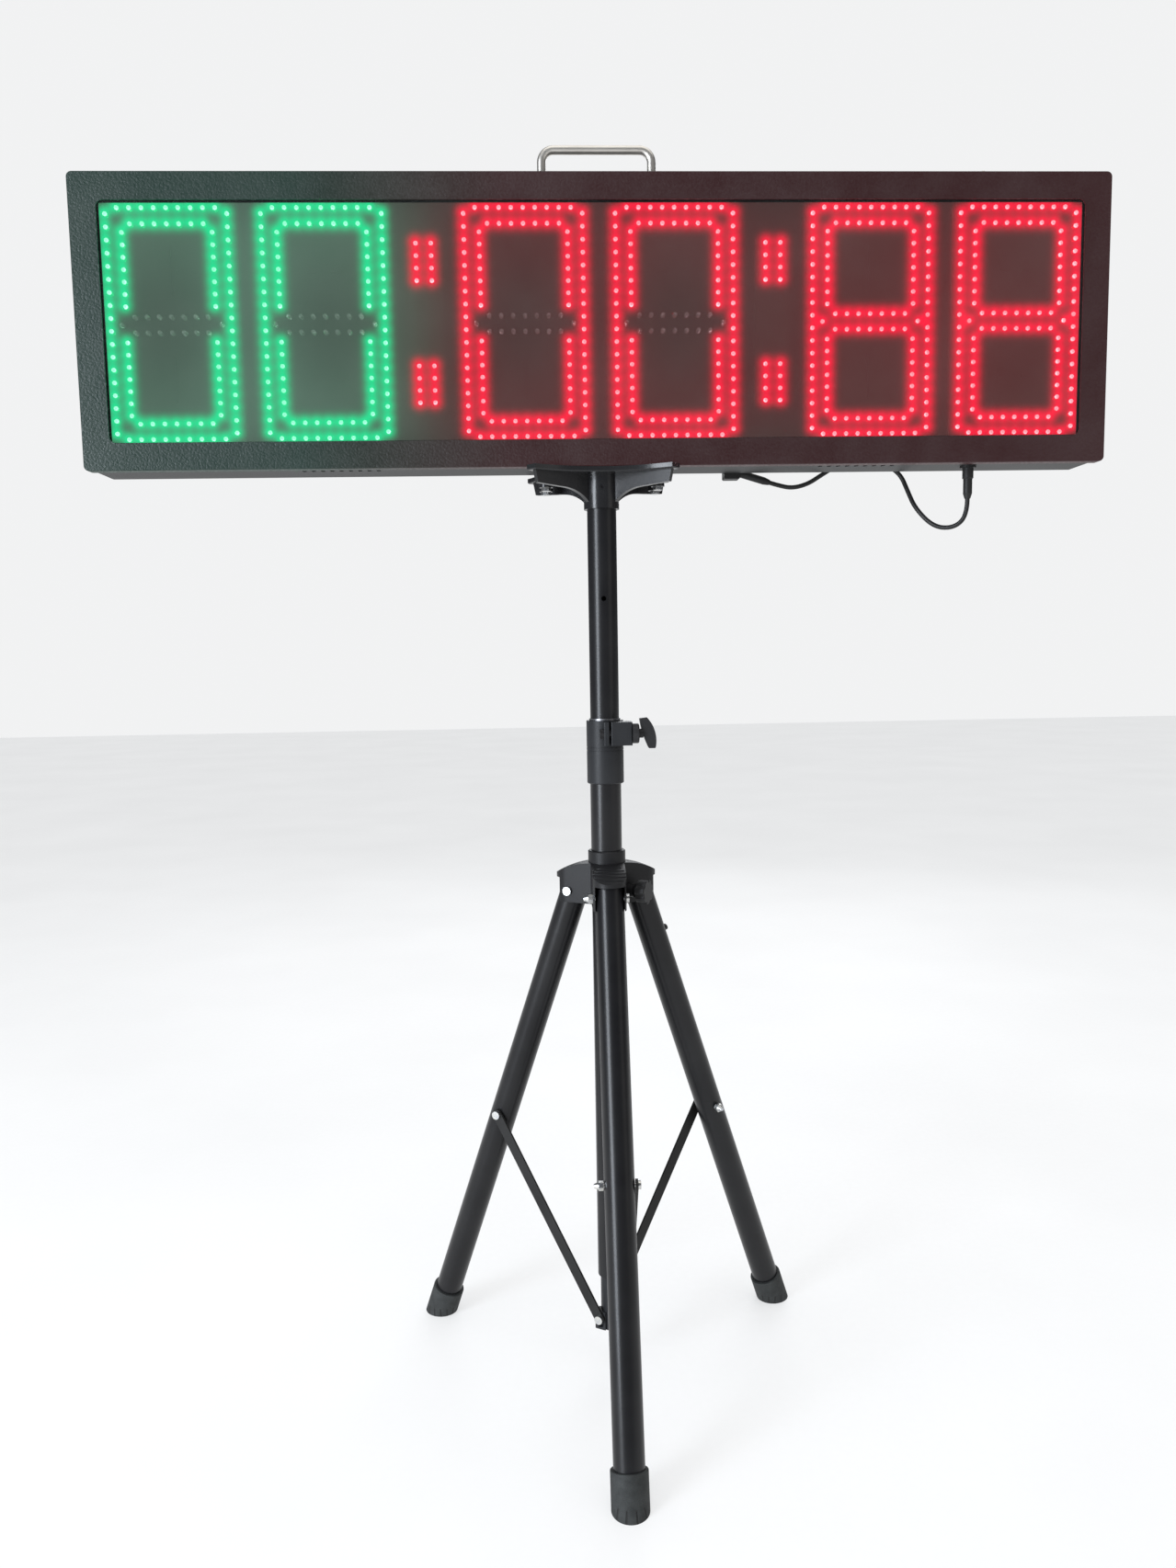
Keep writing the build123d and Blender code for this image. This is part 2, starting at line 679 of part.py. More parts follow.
bolt_head = 4.0
with BuildPart() as bracket_bolt_set:
    with BuildSketch(level(bracket_top - boss_depth)):
        with GridLocations(2 * bracket_bolt_x, 2 * bracket_bolt_y, 2, 2):
            RegularPolygon(5.8, 6)
    extrude(amount=-bolt_head)
    with BuildSketch(level(bracket_top - boss_depth)):
        with GridLocations(2 * bracket_bolt_x, 2 * bracket_bolt_y, 2, 2):
            Circle(bracket_bolt_r)
    extrude(amount=case_floor - bracket_top + boss_depth + sheet + nut_height + 2.0)
    with BuildSketch(level(case_floor + sheet)):
        with GridLocations(2 * bracket_bolt_x, 2 * bracket_bolt_y, 2, 2):
            RegularPolygon(5.8, 6)
    extrude(amount=nut_height)
save(bracket_bolt_set, "bracket_bolts")

with BuildPart() as socket_screw:
    with BuildSketch(Plane((0, mast_y - inner_tube_r - 0.3, screw_z), x_dir=(1, 0, 0),
                           z_dir=(0, -1, 0))):
        Circle(socket_screw_r)
    extrude(amount=socket_wall - 0.6)
    with BuildSketch(Plane((0, mast_y - inner_tube_r + 0.3 - socket_wall, screw_z),
                           x_dir=(1, 0, 0), z_dir=(0, -1, 0))):
        RegularPolygon(1.7, 6)
    extrude(amount=-1.6, mode=Mode.SUBTRACT)
save(socket_screw, "socket_screw")

# ====================================================================== mast
pin_hole_z = face_z - 314.0
inner_bottom = clutch_top - insertion
with BuildPart() as inner_tube:
    with BuildSketch(level(inner_bottom)):
        Circle(inner_tube_r)
        Circle(inner_tube_r - tube_wall, mode=Mode.SUBTRACT)
    extrude(amount=tube_top - inner_bottom)
    with BuildSketch(Plane((0, mast_y, pin_hole_z), x_dir=(1, 0, 0), z_dir=(0, -1, 0))):
        Circle(3.0)
    extrude(amount=inner_tube_r + 1.0, mode=Mode.SUBTRACT)
save(inner_tube, "inner_tube")

outer_bore = outer_tube_r - outer_tube_wall
with BuildPart() as inner_tube_plug:
    with BuildSketch(level(inner_bottom)):
        Circle(outer_bore - 0.1)
    extrude(amount=-9.0)
    with BuildSketch(level(inner_bottom)):
        Circle(inner_tube_r - tube_wall)
    extrude(amount=16.0)
    chamfer(inner_tube_plug.edges().group_by(Axis.Z)[0], length=1.0)
save(inner_tube_plug, "inner_tube_plug")

outer_bottom = brace_foot_z + 56.0
bush_seat = 4.0
with BuildPart() as outer_tube:
    with BuildSketch(level(outer_bottom)):
        Circle(outer_tube_r)
        Circle(outer_bore, mode=Mode.SUBTRACT)
    extrude(amount=clutch_top - bush_seat - outer_bottom)
save(outer_tube, "outer_tube")

bush_proud = 2.5
with BuildPart() as guide_bush:
    with BuildSketch(level(clutch_top - bush_seat)):
        Circle(outer_tube_r - 0.1)
        Circle(inner_tube_r + running, mode=Mode.SUBTRACT)
    extrude(amount=bush_seat + bush_proud)
save(guide_bush, "guide_bush")

# ---- clutch collar: split at its top, drawn together by a bolt through two ears
slit_x = 3.5
slit = 2.0
clamp_depth = 29.0
ear_y = -(clutch_r + 7.0)
ear_front = -(clutch_r + 14.5)
block_end = 31.0
clamp_z = clutch_top - 15.0
clamp_r = 4.0
with BuildPart() as clutch_collar:
    with BuildSketch(level(clutch_bottom)):
        Circle(clutch_r)
    extrude(amount=clutch_height)
    chamfer(clutch_collar.edges().group_by(Axis.Z)[0], length=1.0)
    with BuildSketch(level(clutch_top - clamp_depth)):
        with Locations(((slit_x - 5.0) / 2 + 1.0, ear_front / 2 - 6.0)):
            Rectangle(slit_x + 3.0, -ear_front - 12.0)
        with Locations(((slit_x + slit + block_end) / 2, ear_front / 2 - 4.0)):
            Rectangle(block_end - slit_x - slit, -ear_front - 8.0)
    extrude(amount=clamp_depth - 1.0)
    fillet(clutch_collar.edges().filter_by(Axis.Z).group_by(Axis.Y)[0], radius=1.5)
    with BuildSketch(level(clutch_bottom)):
        Circle(outer_tube_r + 0.05)
    extrude(amount=clutch_height, mode=Mode.SUBTRACT)
    with BuildSketch(level(clutch_top - clamp_depth + 4.0)):
        with Locations((slit_x + slit / 2, ear_front / 2 - 8.0)):
            Rectangle(slit, -ear_front)
    extrude(amount=clamp_depth, mode=Mode.SUBTRACT)
    for groove_z in (clutch_top - 33.0, clutch_top - 37.0):
        with BuildSketch(level(groove_z)):
            Circle(clutch_r + 1.0)
            Circle(clutch_r - 0.6, mode=Mode.SUBTRACT)
        extrude(amount=1.0, mode=Mode.SUBTRACT)
    with BuildSketch(Plane((-20.0, mast_y + ear_y, clamp_z), x_dir=(0, 1, 0), z_dir=(1, 0, 0))):
        Circle(clamp_r + 0.15)
    extrude(amount=80.0, mode=Mode.SUBTRACT)
save(clutch_collar, "clutch_collar")


def clamp_plane(x):
    """Plane square to the clamp bolt, x along it."""
    return Plane((x, mast_y + ear_y, clamp_z), x_dir=(0, 1, 0), z_dir=(1, 0, 0))


ear_left = (slit_x - 5.0) / 2 + 1.0 - (slit_x + 3.0) / 2
knob_flange = 8.0
knob_start = block_end + 0.3
with BuildPart() as clamp_bolt:
    with BuildSketch(clamp_plane(ear_left)):
        RegularPolygon(6.6, 6)
    extrude(amount=-4.5)
    with BuildSketch(clamp_plane(ear_left)):
        Circle(clamp_r)
    extrude(amount=knob_start + knob_flange - 1.0 - ear_left)
save(clamp_bolt, "clamp_bolt")

wing_start = knob_start + knob_flange + 1.5
wing_span = 18.0
with BuildPart() as wing_knob:
    with BuildSketch(clamp_plane(knob_start)):
        Circle(12.0)
    extrude(amount=knob_flange)
    fillet(wing_knob.edges().group_by(Axis.X)[-1], radius=2.0)
    with BuildSketch(clamp_plane(knob_start + knob_flange)):
        Circle(5.5)
    extrude(amount=5.0)
    with BuildSketch(Plane((wing_start, mast_y + ear_y, clamp_z), x_dir=(1, 0, 0),
                           z_dir=(0, -1, 0))) as wing_outline:
        with BuildLine():
            wing_back = ThreePointArc((-1.0, wing_span), (1.5, 5.0), (3.0, 0.0))
            wing_hollow = ThreePointArc(wing_back @ 1, (6.0, -9.0), (10.0, -wing_span))
            wing_foot = Line(wing_hollow @ 1, (18.0, -wing_span))
            wing_crown = ThreePointArc(wing_foot @ 1, (17.5, 2.0), (8.0, wing_span + 1.0))
            Line(wing_crown @ 1, wing_back @ 0)
        make_face()
        fillet(wing_outline.vertices().group_by(Axis.Y)[0], radius=1.5)
    extrude(amount=4.0, both=True)
    with BuildSketch(clamp_plane(knob_start)):
        Circle(clamp_r + running)
    extrude(amount=knob_flange - 0.5, mode=Mode.SUBTRACT)
save(wing_knob, "wing_knob")

# =================================================================== tripod
# The hub slides up the outer tube as the legs fold. Its rise at full fold, and how
# far the brace ends stray from their pivots on the way when the legs, braces and hub
# move in a fixed ratio, come from the linkage's lengths.
rest_reach = pivot_r + brace_along_leg * sin(slope) - brace_foot_r
rest_drop = hub_z - brace_foot_z - brace_along_leg * cos(slope)
brace_length = sqrt(rest_reach ** 2 + rest_drop ** 2)
folded_slope = slope - radians(fold_travel)
folded_reach = pivot_r + brace_along_leg * sin(folded_slope) - brace_foot_r
brace_open = asin(rest_reach / brace_length)
brace_folded = asin(folded_reach / brace_length)
folded_height = brace_along_leg * cos(folded_slope) + brace_length * cos(brace_folded)
hub_rise = folded_height - (hub_z - brace_foot_z)
brace_swing = degrees(brace_open - brace_folded) + fold_travel
print("hub rise", round(hub_rise, 4), "brace swing", round(brace_swing, 4))


def brace_end(part_way):
    """Distance out from the mast, and height, of a brace's lower end during the fold."""
    lean = slope - radians(fold_travel) * part_way
    brace_lean = brace_open - (brace_open - brace_folded) * part_way
    out = pivot_r + brace_along_leg * sin(lean) - brace_length * sin(brace_lean)
    height = (hub_z + hub_rise * part_way - brace_along_leg * cos(lean)
              - brace_length * cos(brace_lean))
    return out, height


ways = [brace_end(i / 40) for i in range(41)]
slot_drop = max(brace_foot_z - height for out, height in ways)
slot_side = max(abs(out - brace_foot_r) for out, height in ways)
print("open pivot: drop", round(slot_drop, 2), "side", round(slot_side, 2))

pin_r = 3.0
brace_inner = leg_r + brace_gap
pad_face = brace_inner - 0.3
neck_r = outer_tube_r * 0.83
slot_gap = 0.8
slot_half = pin_r + slot_side + slot_gap
slot_depth = 5.5
pad_low = slot_drop + slot_half + slot_gap + 3.5
pad_high = slot_half + slot_gap + 3.5
with BuildPart() as lower_collar:
    with BuildSketch(level(brace_foot_z - pad_low)):
        Circle(neck_r)
    extrude(amount=outer_bottom - brace_foot_z + pad_low)
    with BuildSketch(level(outer_bottom)):
        Circle(outer_bore - 0.05)
    extrude(amount=28.0)
    for azimuth in leg_azimuths.values():
        with BuildSketch(cross_plane(azimuth, brace_foot_r, brace_foot_z, pad_face)):
            with Locations((0, (pad_low - pad_high) / 2)):
                Rectangle(2 * (slot_half + 2.6), pad_high + pad_low)
        extrude(amount=-(pad_face - 6.0))
    chamfer(lower_collar.edges().group_by(Axis.Z)[0], length=1.0)
    for azimuth in leg_azimuths.values():
        with BuildSketch(cross_plane(azimuth, brace_foot_r, brace_foot_z, pad_face)):
            with Locations((0, slot_drop / 2)):
                SlotCenterToCenter(slot_drop + 2 * slot_gap, 2 * slot_half, rotation=90)
        extrude(amount=-slot_depth, mode=Mode.SUBTRACT)
save(lower_collar, "lower_collar")

# ---- hub: a sleeve on the outer tube with three forked housings under a domed roof
cavity_half = leg_r + cheek_gap
cheek_outer = cavity_half + cheek
housing_reach = pivot_r + 3.0
roof_z = hub_z + 37.0
eave_z = hub_z + 20.0
ceiling_z = hub_z + 16.0
skirt_z = hub_z - 14.0
eave_r = housing_reach + cheek_outer
bolt_r = 4.0
knob_azimuth = -30
knob_z = hub_z + 3.0
knob_boss = sleeve_r + 14.0
with BuildPart() as hub:
    with BuildSketch(level(skirt_z)):
        Circle(sleeve_r)
        with PolarLocations(housing_reach / 2, 3, start_angle=-90):
            SlotCenterToCenter(housing_reach, 2 * cheek_outer)
    extrude(amount=roof_z - skirt_z)
    with BuildSketch(upright(0)):
        with BuildLine():
            hub_dome = ThreePointArc((sleeve_r, roof_z),
                                     ((sleeve_r + eave_r) / 2, (roof_z + eave_z) / 2 + 3.0),
                                     (eave_r, eave_z))
            Polyline(hub_dome @ 1, (eave_r + 5.0, eave_z - 2.0), (eave_r + 5.0, skirt_z),
                     (0, skirt_z), (0, roof_z), hub_dome @ 0)
        make_face()
    revolve(axis=Axis((0, mast_y, 0), (0, 0, 1)), mode=Mode.INTERSECT)
    with BuildSketch(level(skirt_z)):
        with PolarLocations(sleeve_r + 0.6 + 40.0, 3, start_angle=-90):
            Rectangle(80.0, 2 * cavity_half)
    extrude(amount=ceiling_z - skirt_z, mode=Mode.SUBTRACT)
    with BuildSketch(Plane(Vector(0, mast_y, knob_z), x_dir=(0, 0, 1),
                           z_dir=(cos(radians(knob_azimuth)), sin(radians(knob_azimuth)), 0))):
        Circle(8.0)
    extrude(amount=knob_boss)
    with BuildSketch(level(skirt_z)):
        Circle(outer_tube_r + running)
    extrude(amount=roof_z - skirt_z, mode=Mode.SUBTRACT)
    with BuildSketch(Plane(Vector(0, mast_y, knob_z), x_dir=(0, 0, 1),
                           z_dir=(cos(radians(knob_azimuth)), sin(radians(knob_azimuth)), 0))):
        Circle(bolt_r + running)
    extrude(amount=knob_boss, mode=Mode.SUBTRACT)
    for azimuth in leg_azimuths.values():
        with BuildSketch(cross_plane(azimuth, pivot_r, hub_z)):
            Circle(bolt_r + 0.05)
        extrude(amount=cheek_outer + 1.0, both=True, mode=Mode.SUBTRACT)
    # moulded ridges across the front housing's roof
    for part_way in (0.3, 0.44, 0.58, 0.72, 0.86):
        groove = hub_dome @ part_way
        with BuildSketch(upright(-90 - 25)):
            with Locations((groove.X, groove.Y)):
                Circle(1.1)
        revolve(axis=Axis((0, mast_y, 0), (0, 0, 1)), revolution_arc=50, mode=Mode.SUBTRACT)
save(hub, "hub")

ring_height = 15.0
ring_r = outer_tube_r + 4.0
with BuildPart() as hub_ring:
    with BuildSketch(level(roof_z)):
        Circle(ring_r)
        Circle(outer_tube_r + running, mode=Mode.SUBTRACT)
    extrude(amount=ring_height)
    chamfer(hub_ring.edges().group_by(Axis.Z)[-1].sort_by(SortBy.LENGTH)[-1], length=1.2)
save(hub_ring, "hub_ring")

# ---- locking knob in the hub: its screw bears on the outer tube
knob_out = Vector(cos(radians(knob_azimuth)), sin(radians(knob_azimuth)), 0)


def knob_plane(radius):
    """Plane square to the hub's locking screw, at a distance from the mast's axis."""
    return Plane(Vector(0, mast_y, knob_z) + knob_out * radius, x_dir=(0, 0, 1), z_dir=knob_out)


hub_knob_r = 15.0
knob_face = knob_boss + 0.5
with BuildPart() as hub_knob:
    with BuildSketch(knob_plane(knob_face)):
        Circle(8.0)
    with BuildSketch(knob_plane(knob_face + 6.0)):
        Circle(hub_knob_r - 2.0)
    loft()
    with BuildSketch(knob_plane(knob_face + 6.0)):
        Circle(hub_knob_r)
        with PolarLocations(hub_knob_r + 2.5, 7):
            Circle(4.6, mode=Mode.SUBTRACT)
    extrude(amount=12.0)
    chamfer(hub_knob.faces().sort_by(Axis((0, 0, 0), knob_out))[-1].edges(), length=1.2)
    with BuildSketch(knob_plane(outer_tube_r + 0.3)):
        Circle(bolt_r)
    extrude(amount=knob_face - outer_tube_r + 2.0)
save(hub_knob, "hub_knob")


def acorn_nut(azimuth, radius, z, offset, size, height):
    """Domed nut on the clockwise side of a leg, offset from the leg's middle plane."""
    with BuildPart() as nut:
        with BuildSketch(cross_plane(azimuth, radius, z, -offset)):
            RegularPolygon(size, 6)
        extrude(amount=-height * 0.5)
        with BuildSketch(cross_plane(azimuth, radius, z, -offset - height * 0.5)):
            Circle(size * 0.8)
        extrude(amount=-height * 0.5, taper=24)
    return nut.part


with BuildPart() as pivot_bolt_set:
    for azimuth in leg_azimuths.values():
        with BuildSketch(cross_plane(azimuth, pivot_r, hub_z, cheek_outer)):
            Circle(5.4)
        extrude(amount=3.4)
        with BuildSketch(cross_plane(azimuth, pivot_r, hub_z, -cheek_outer - 4.0)):
            Circle(bolt_r)
        extrude(amount=2 * cheek_outer + 5.0)
        add(acorn_nut(azimuth, pivot_r, hub_z, cheek_outer, 6.4, 11.0))
save(pivot_bolt_set, "pivot_bolts")

# ---- legs, feet, braces
button_along = 69.0
button_stem = 2.4
for leg_name, azimuth in leg_azimuths.items():
    leg_out = Vector(cos(radians(azimuth)), sin(radians(azimuth)), 0)
    bolt_reach = pivot_r + brace_along_leg * sin(slope)
    bolt_z = hub_z - brace_along_leg * cos(slope)
    outward = leg_out * cos(slope) + Vector(0, 0, sin(slope))
    button_plane = Plane(leg_plane(azimuth, button_along).origin + outward * leg_r,
                         x_dir=leg_plane(azimuth, 0).x_dir, z_dir=outward)
    with BuildPart() as leg:
        with BuildSketch(leg_plane(azimuth, -leg_top)):
            Circle(leg_r)
            Circle(leg_r - leg_wall, mode=Mode.SUBTRACT)
        extrude(amount=leg_top + leg_length)
        with BuildSketch(cross_plane(azimuth, pivot_r, hub_z)):
            Circle(bolt_r + running)
        extrude(amount=leg_r + 1.0, both=True, mode=Mode.SUBTRACT)
        with BuildSketch(cross_plane(azimuth, bolt_reach, bolt_z)):
            Circle(pin_r + running)
        extrude(amount=leg_r + 1.0, both=True, mode=Mode.SUBTRACT)
        if leg_name == "right":
            with BuildSketch(button_plane):
                Circle(button_stem + 0.1)
            extrude(amount=-2 * leg_wall, mode=Mode.SUBTRACT)
    save(leg, f"leg_{leg_name}")
    if leg_name == "right":
        with BuildPart() as leg_button:
            with BuildSketch(button_plane):
                Circle(button_stem)
            extrude(amount=-leg_wall - 1.5)
            with BuildSketch(button_plane):
                Circle(4.0)
            extrude(amount=5.0)
            fillet(leg_button.edges().sort_by(Axis((0, 0, 0), outward))[-1], radius=1.0)
        save(leg_button, "leg_button")

    # rubber foot: a cup round the tube's end, cut level with the floor
    foot_top = leg_length - foot_above_end
    with BuildPart() as foot:
        with BuildSketch(leg_plane(azimuth, foot_top)):
            Circle(foot_r)
        extrude(amount=hub_z / cos(slope) - foot_top + 2 * foot_r * tan(slope))
        fillet(foot.edges().group_by(Axis.Z)[-1], radius=1.2)
        with BuildSketch(leg_plane(azimuth, foot_top)):
            Circle(leg_r)
        extrude(amount=foot_above_end, mode=Mode.SUBTRACT)
        split(bisect_by=Plane.XY, keep=Keep.TOP)
    save(foot, f"foot_{leg_name}")

    # flat brace beside the leg, from its bolt down and in to the lower collar
    brace_lean = degrees(brace_open)
    with BuildPart() as brace:
        with BuildSketch(cross_plane(azimuth, bolt_reach, bolt_z, brace_inner)):
            brace_run = cross_plane(azimuth, bolt_reach, bolt_z, brace_inner)
            foot_point = brace_run.to_local_coords(
                Vector(0, mast_y, brace_foot_z) + leg_out * brace_foot_r)
            SlotCenterPoint((foot_point.X / 2, foot_point.Y / 2),
                            (foot_point.X, foot_point.Y), brace_width)
            with Locations((0, 0), (foot_point.X, foot_point.Y)):
                Circle(pin_r + 0.1, mode=Mode.SUBTRACT)
        extrude(amount=brace_thickness)
    save(brace, f"brace_{leg_name}")

    brace_outer = brace_inner + brace_thickness
    with BuildPart() as bolt_set:
        with BuildSketch(cross_plane(azimuth, bolt_reach, bolt_z, brace_outer)):
            Circle(5.4)
        extrude(amount=3.2)
        with BuildSketch(cross_plane(azimuth, bolt_reach, bolt_z, -brace_inner - 4.0)):
            Circle(pin_r)
        extrude(amount=brace_inner + brace_outer + 5.0)
        add(acorn_nut(azimuth, bolt_reach, bolt_z, brace_inner, 5.6, 11.0))
        with BuildSketch(cross_plane(azimuth, brace_foot_r, brace_foot_z, brace_outer)):
            Circle(5.4)
        extrude(amount=3.2)
        with BuildSketch(cross_plane(azimuth, brace_foot_r, brace_foot_z, brace_outer + 1.0)):
            Circle(pin_r)
        extrude(amount=-(brace_outer + 1.0 - pad_face + slot_depth - 1.0))
    save(bolt_set, f"brace_bolts_{leg_name}")
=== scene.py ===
# %% [markdown]
# # A six-digit timing clock on a folding tripod
# The clock is a shallow steel case with a smoked window and rows of light-emitting
# diodes, carried on a telescopic mast. The solid model already gives every piece its
# size and place, so this lesson is about looks: a camera, a power lead, the haze of
# light in the window, and a finish for each surface.

import math

import bmesh
import bpy
import numpy as np
from mathutils import Matrix, Vector


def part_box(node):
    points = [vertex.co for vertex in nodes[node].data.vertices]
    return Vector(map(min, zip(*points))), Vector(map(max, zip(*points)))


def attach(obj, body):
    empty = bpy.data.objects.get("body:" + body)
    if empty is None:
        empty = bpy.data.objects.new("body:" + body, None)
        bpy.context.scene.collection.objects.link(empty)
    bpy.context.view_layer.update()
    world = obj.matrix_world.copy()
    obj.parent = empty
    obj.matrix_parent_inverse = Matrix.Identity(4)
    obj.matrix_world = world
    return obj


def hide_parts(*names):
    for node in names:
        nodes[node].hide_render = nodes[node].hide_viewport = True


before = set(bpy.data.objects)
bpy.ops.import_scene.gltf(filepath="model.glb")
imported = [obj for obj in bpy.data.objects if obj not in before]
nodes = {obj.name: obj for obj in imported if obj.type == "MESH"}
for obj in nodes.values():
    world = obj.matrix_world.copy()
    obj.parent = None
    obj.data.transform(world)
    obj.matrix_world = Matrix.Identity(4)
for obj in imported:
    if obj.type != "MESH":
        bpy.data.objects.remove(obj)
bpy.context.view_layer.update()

# %% [markdown]
# Everything is placed from two lines of the clock: the mast's upright axis and the
# middle of the front bezel. Both come from the boxes of the solid pieces.


# %% Reference lines
def middle(node):
    low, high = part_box(node)
    return (Vector(low) + Vector(high)) / 2


mast = middle("outer_tube")
bezel_low, bezel_high = (Vector(corner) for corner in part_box("front_bezel"))
face_z = (bezel_low.z + bezel_high.z) / 2
print("mast at y", round(mast.y, 4), "face centre at z", round(face_z, 4))

# %% [markdown]
# ## Camera
# The viewer stands close, about chest high, a little left of the mast and looking
# slightly down, so a wide lens takes in the whole clock. The camera's matrix is built
# from its own three directions, which makes a small roll easy to add.

# %% Camera
camera_data = bpy.data.cameras.new("camera")
camera_data.sensor_fit = "VERTICAL"
camera_data.sensor_height = 36.0
camera_data.lens = 26.7
camera = bpy.data.objects.new("camera", camera_data)
bpy.context.collection.objects.link(camera)

camera_place = Vector((mast.x - 0.0797, mast.y - 1.4194, face_z - 0.384))
turn_right = 0.0408
look_up = -0.1081
roll = -0.0166
forward = Vector((math.sin(turn_right) * math.cos(look_up),
                  math.cos(turn_right) * math.cos(look_up), math.sin(look_up)))
level_right = forward.cross(Vector((0, 0, 1))).normalized()
level_up = level_right.cross(forward)
right = level_right * math.cos(roll) + level_up * math.sin(roll)
up = level_up * math.cos(roll) - level_right * math.sin(roll)
camera.matrix_world = Matrix.Translation(camera_place) @ Matrix(
    (right, up, -forward)).transposed().to_4x4()
bpy.context.scene.camera = camera
print("camera at", [round(value, 3) for value in camera_place])

# %% [markdown]
# ## Power lead
# A short mains lead, 5.5 mm thick and fairly stiff, leaves the plug under the case,
# makes a loop beside the case's corner, is clipped along the back and ends in a
# coupler behind the case. One spline through listed points gives an even bend
# everywhere, which a chain of straight tubes can't.

# %% Power lead
lead_radius = 0.00275
lead_points = [
    (0.4445, 0.0, -0.1995),
    (0.4445, 0.0, -0.2195),
    (0.4320, 0.0080, -0.2335),
    (0.4110, 0.0210, -0.2310),
    (0.3920, 0.0340, -0.2070),
    (0.3850, 0.0440, -0.1840),
    (0.3780, 0.0500, -0.1630),
    (0.3620, 0.0520, -0.1510),
    (0.3400, 0.0520, -0.1490),
    (0.3180, 0.0520, -0.1496),
    (0.2960, 0.0520, -0.1515),
    (0.2790, 0.0510, -0.1615),
    (0.2610, 0.0503, -0.1730),
    (0.2410, 0.0497, -0.1780),
    (0.2240, 0.0495, -0.1746),
    (0.2120, 0.0495, -0.1709),
]
lead_curve = bpy.data.curves.new("mains_lead", "CURVE")
lead_curve.dimensions = "3D"
lead_curve.bevel_depth = lead_radius
lead_curve.bevel_resolution = 5
lead_curve.resolution_u = 10
lead_curve.use_fill_caps = True
lead_spline = lead_curve.splines.new("NURBS")
lead_spline.points.add(len(lead_points) - 1)
for point, (x, y, z) in zip(lead_spline.points, lead_points):
    point.co = (x, mast.y + y, face_z + z, 1.0)
lead_spline.order_u = 3
lead_spline.use_endpoint_u = True
mains_lead = bpy.data.objects.new("mains_lead", lead_curve)
bpy.context.collection.objects.link(mains_lead)


def curve_length(curve):
    """Length of the drawn curve, measured on a copy without its thickness."""
    bare = curve.copy()
    bare.bevel_depth = 0.0
    holder = bpy.data.objects.new("measured", bare)
    bpy.context.collection.objects.link(holder)
    bpy.context.view_layer.update()
    line = holder.to_mesh()
    length = sum((line.vertices[a].co - line.vertices[b].co).length
                 for a, b in (edge.vertices for edge in line.edges))
    holder.to_mesh_clear()
    bpy.data.objects.remove(holder)
    bpy.data.curves.remove(bare)
    return length


lead_length = curve_length(lead_curve)
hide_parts("power_lead")
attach(mains_lead, "head")
print("lead length", round(lead_length, 4))

# %% [markdown]
# ## Painted haze in the window
# Bright diodes behind a smoked pane never look like clean dots. Light spreads in the
# plastic, so each dot wears a halo and the digits stand in a faint cloud of their own
# colour, over the grey that the smoked plastic scatters by itself. One fine sheet just
# behind the pane carries that veil as painted light: the halos, the clouds and the grey
# are a painted glow that the sheet emits. Each vertex adds up what reaches it from the
# diodes around it, which is simpler and steadier than hundreds of overlapping discs.
# The veil has five layers: two narrow halos, two wide clouds and the grey, each with
# how much it covers and its colour.


# %% Diode places
def diode_places(node, apart=0.005):
    """Centre of each diode, as x and z, from the front ends of the domes."""
    mesh = nodes[node].data
    points = np.empty(len(mesh.vertices) * 3)
    mesh.vertices.foreach_get("co", points)
    points = points.reshape(-1, 3)
    tips = points[points[:, 1] < points[:, 1].min() + 0.0002][:, (0, 2)]
    centres = []
    while len(tips):
        near = np.hypot(*(tips - tips[0]).T) < apart
        centres.append(tips[near].mean(axis=0))
        tips = tips[~near]
    return np.array(centres)


green_places = diode_places("leds_green")
red_places = diode_places("leds_red")
print("lit diodes:", len(green_places), "green,", len(red_places), "red")

# %% Haze sheet
lens_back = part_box("tinted_lens")[1][1]
behind_lens = 0.001
haze_cell = 0.0026
haze_margin = 0.032  # bezel's outer edge to the sheet's edge
haze_width = bezel_high.x - bezel_low.x - 2 * haze_margin
haze_height = bezel_high.z - bezel_low.z - 2 * haze_margin
haze_shape = bmesh.new()
bmesh.ops.create_grid(haze_shape, x_segments=int(haze_width / haze_cell),
                      y_segments=int(haze_height / haze_cell), size=0.5)
bmesh.ops.scale(haze_shape, verts=haze_shape.verts, vec=(haze_width, haze_height, 1.0))
bmesh.ops.rotate(haze_shape, verts=haze_shape.verts, cent=(0, 0, 0),
                 matrix=Matrix.Rotation(math.radians(90), 3, "X"))
bmesh.ops.translate(haze_shape, verts=haze_shape.verts,
                    vec=(mast.x, lens_back + behind_lens, face_z))
haze_mesh = bpy.data.meshes.new("painted_window_glow")
haze_shape.to_mesh(haze_mesh)
haze_shape.free()

spots = np.empty(len(haze_mesh.vertices) * 3)
haze_mesh.vertices.foreach_get("co", spots)
spots = spots.reshape(-1, 3)[:, (0, 2)]


def glow(places, spread):
    """Light that reaches each vertex from all the diodes, fading with distance."""
    total = np.zeros(len(spots))
    for place in places:
        total += np.exp(-((spots - place) ** 2).sum(axis=1) / (2 * spread ** 2))
    return total


